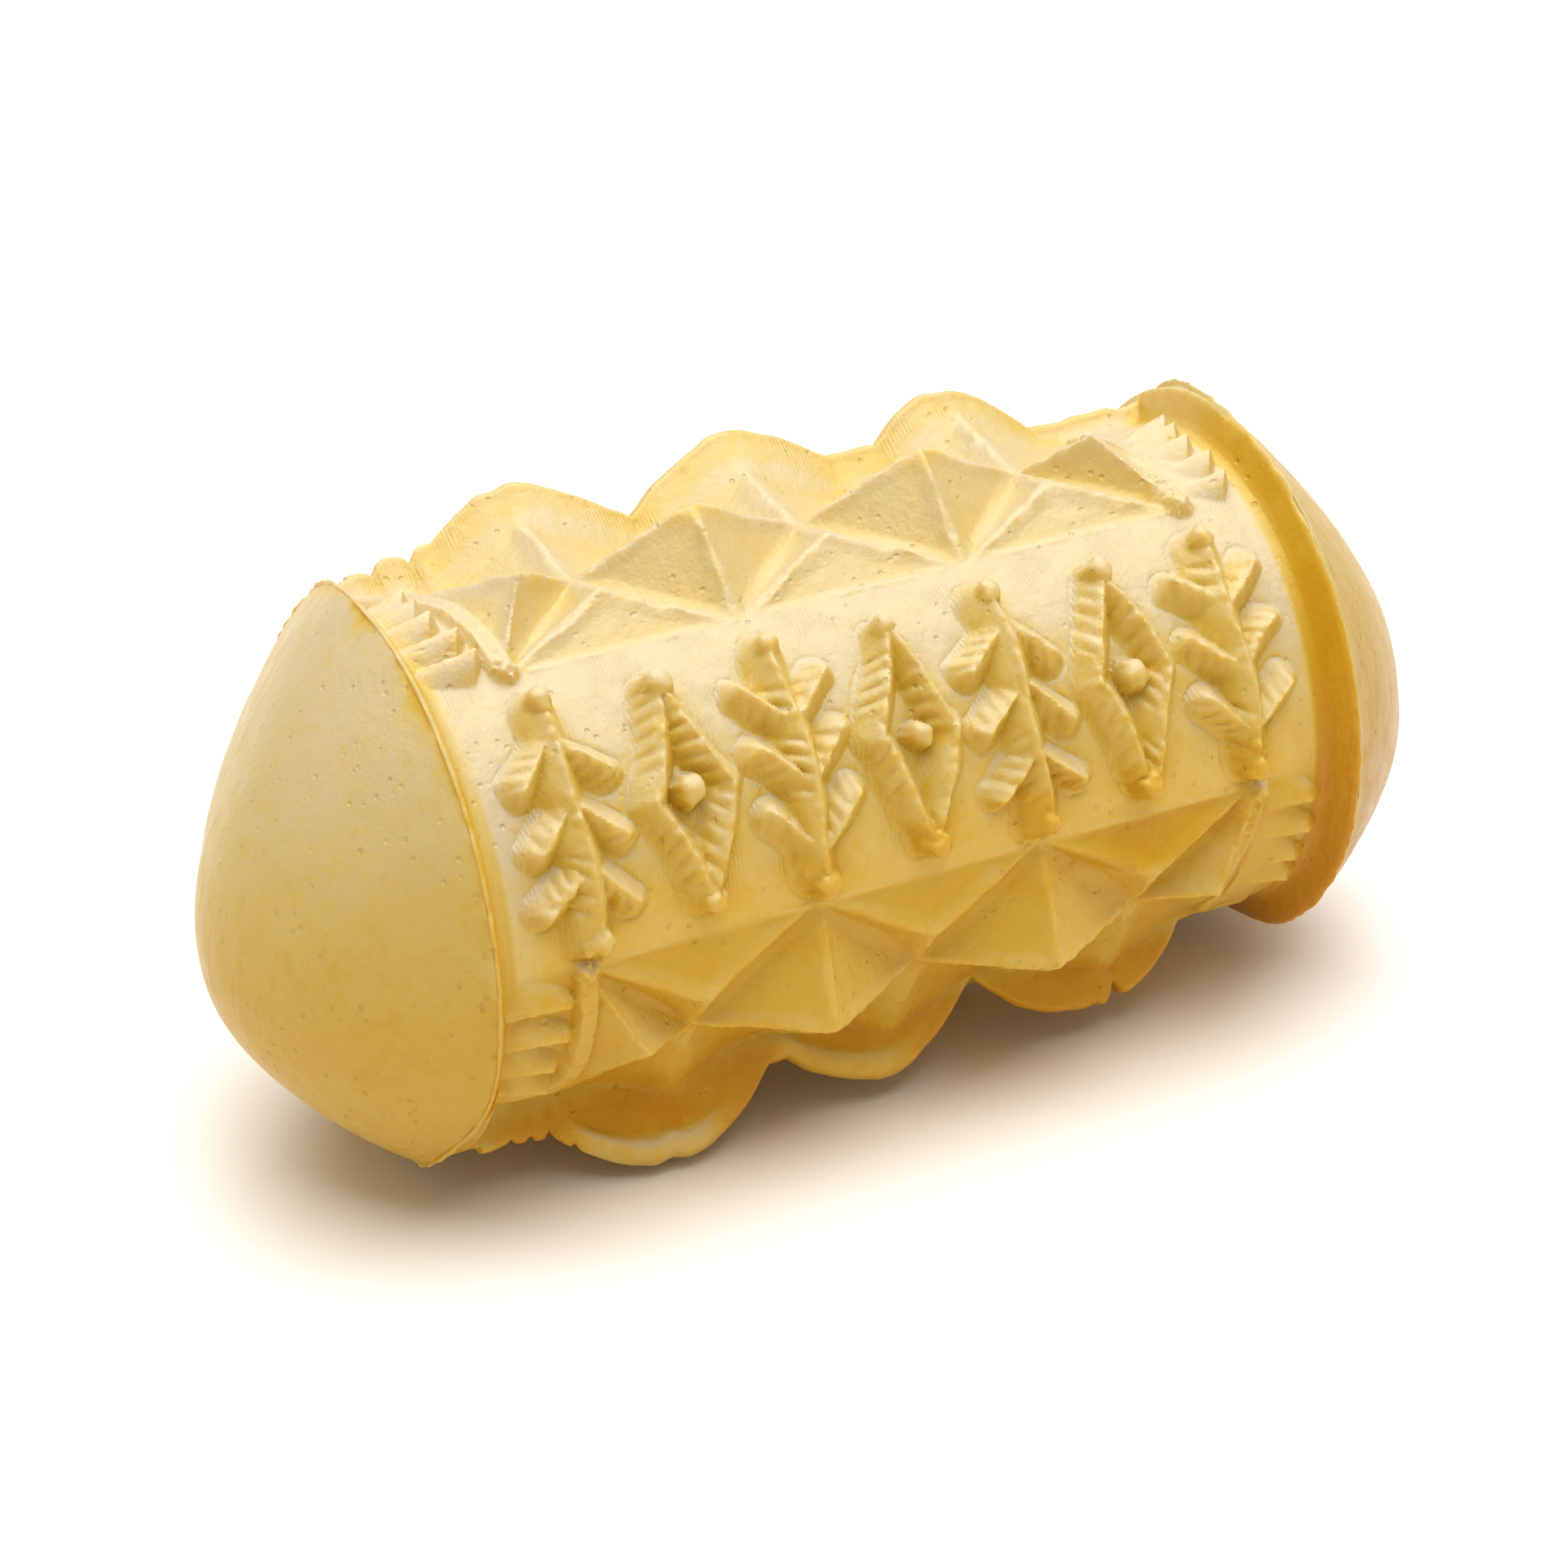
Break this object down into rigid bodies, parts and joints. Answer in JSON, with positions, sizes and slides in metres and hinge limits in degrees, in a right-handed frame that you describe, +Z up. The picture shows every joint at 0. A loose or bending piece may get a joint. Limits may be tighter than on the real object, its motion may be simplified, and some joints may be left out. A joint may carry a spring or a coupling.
{
  "type": "smoked mountain cheese",
  "caption": "Whole smoked mountain cheese lying on its side: a mould-pressed barrel of diamond pyramids with a carved band and pleats, flash fins and two flanged domes.",
  "frame": {"origin": "on the floor under the middle of the cheese's box", "axes": "X runs along the cheese from its left dome to its right dome, -Y faces the shown side, Z is up"},
  "size_m": [0.1862, 0.0838, 0.089],
  "materials": {
    "smoked_skin": "waxy straw-yellow smoked cheese, cream on top and deeper gold on its lower and proud edges"
  },
  "bodies": {
    "root": {"cheese": "smoked_skin"}
  },
  "joints": []
}
